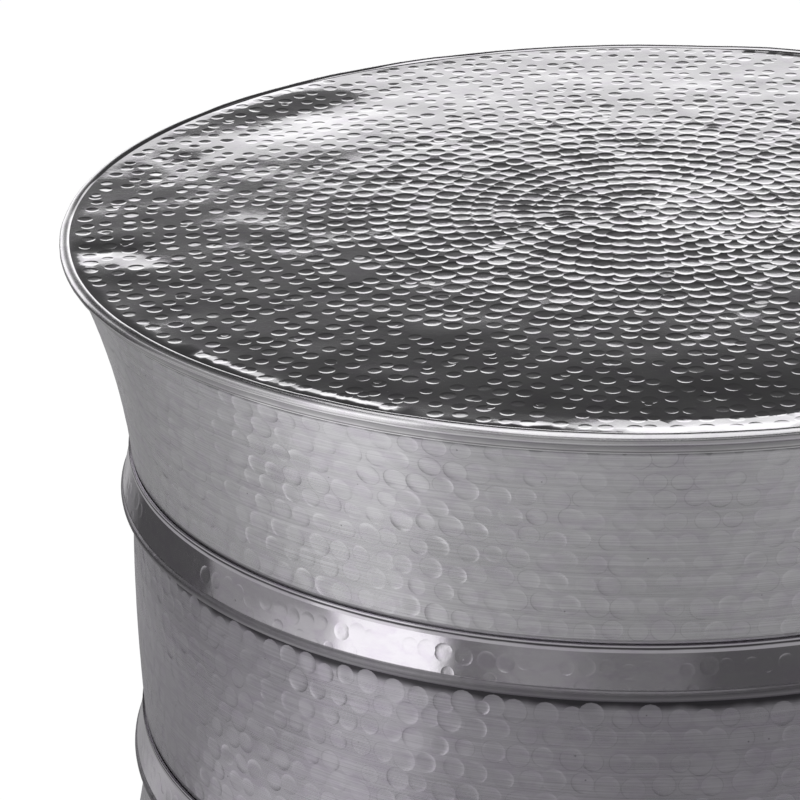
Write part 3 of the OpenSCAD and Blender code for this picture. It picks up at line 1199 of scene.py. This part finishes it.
class DRUM_OT_rings(bpy.types.Operator):
    """Turn the two beaded rings and strike their faces"""
    bl_idname = "drum_table.rings"
    bl_label = "Rings"

    def execute(self, context):
        drum = context.scene.drum_table
        ring = drum.ring
        rng = random.Random(23)
        metal = aluminium("polished_aluminium_rings", ring.colour, 0.12, 0.06, False,
                          RING_JOINTS, 1.6)
        for node, joint_z in (("upper_ring", UPPER_JOINT), ("lower_ring", LOWER_JOINT)):
            path = ring_path(joint_z - GROOVE)
            wrap = Wrap(path, range(2, len(path) - 1), drum.steps)
            marks = []
            for place, wider, share, shake in ((wrap.at[1] + 0.0078, 1.0, 1.0, 0.16),
                                               (wrap.at[2] + 0.0004, 1.1, 0.8, 0.2)):
                marks += rows_of_marks(
                    rng, wrap.width, (place,), ring.mark_pitch * wider, ring.mark_radius * share,
                    ring.mark_slope * share, shake, 0.006)
            rng.shuffle(marks)
            struck_band(wrap, marks, 0.0, wrap.at[2] + 0.0035, 0.0004, 0.00006, node, metal)
        return {"FINISHED"}


class DRUM_OT_fittings(bpy.types.Operator):
    """Finish the steel hoops and the felt glides"""
    bl_idname = "drum_table.fittings"
    bl_label = "Hoops and glides"

    def execute(self, context):
        fitting = context.scene.drum_table.fitting
        steel, felt = drawn_steel(fitting.steel_colour), pressed_felt(fitting.felt_colour)
        bm = bmesh.new()
        spin_profile(bm, arc(RIM_C, RIM_BEAD_R - SHEET - FIT_GAP, 0, 360, 22.5), TURN_STEPS)
        bm.loops.layers.float_vector.new("cast")
        settle_rim(bm)
        finish_piece(bm, "bar_in_rim", "rim_hoop", steel)
        for name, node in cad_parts.items():
            if name == "base_hoop" or name.startswith("glide_"):
                material = steel if name == "base_hoop" else felt
                if not node.material_slots:
                    node.data.materials.append(material)
                for slot in node.material_slots:
                    slot.material = material
        return {"FINISHED"}


OPERATORS = (DRUM_OT_stage, DRUM_OT_top, DRUM_OT_walls, DRUM_OT_rings, DRUM_OT_fittings)


class DRUM_PT_panel(bpy.types.Panel):
    """Steps for building the drum table, in order"""
    bl_idname = "DRUM_PT_panel"
    bl_label = "Drum Table"
    bl_space_type = "VIEW_3D"
    bl_region_type = "UI"
    bl_category = "Drum Table"

    def draw(self, context):
        drum = context.scene.drum_table
        for operator in OPERATORS:
            self.layout.operator(operator.bl_idname)
        for group in (drum.top, drum.wall, drum.ring, drum.fitting, drum.stage):
            box = self.layout.box()
            for name in group.bl_rna.properties.keys():
                if name not in ("rna_type", "name"):
                    box.prop(group, name)


CLASSES = (TopSettings, WallSettings, RingSettings, FittingSettings, StageSettings,
           DrumTableSettings) + OPERATORS + (DRUM_PT_panel,)


def register():
    for cls in CLASSES:
        bpy.utils.register_class(cls)
    bpy.types.Scene.drum_table = PointerProperty(type=DrumTableSettings)


def unregister():
    del bpy.types.Scene.drum_table
    for cls in reversed(CLASSES):
        bpy.utils.unregister_class(cls)


def main():
    register()
    bpy.ops.drum_table.stage()
    bpy.ops.drum_table.top()
    bpy.ops.drum_table.walls()
    bpy.ops.drum_table.rings()
    bpy.ops.drum_table.fittings()


if __name__ == "__main__":
    main()
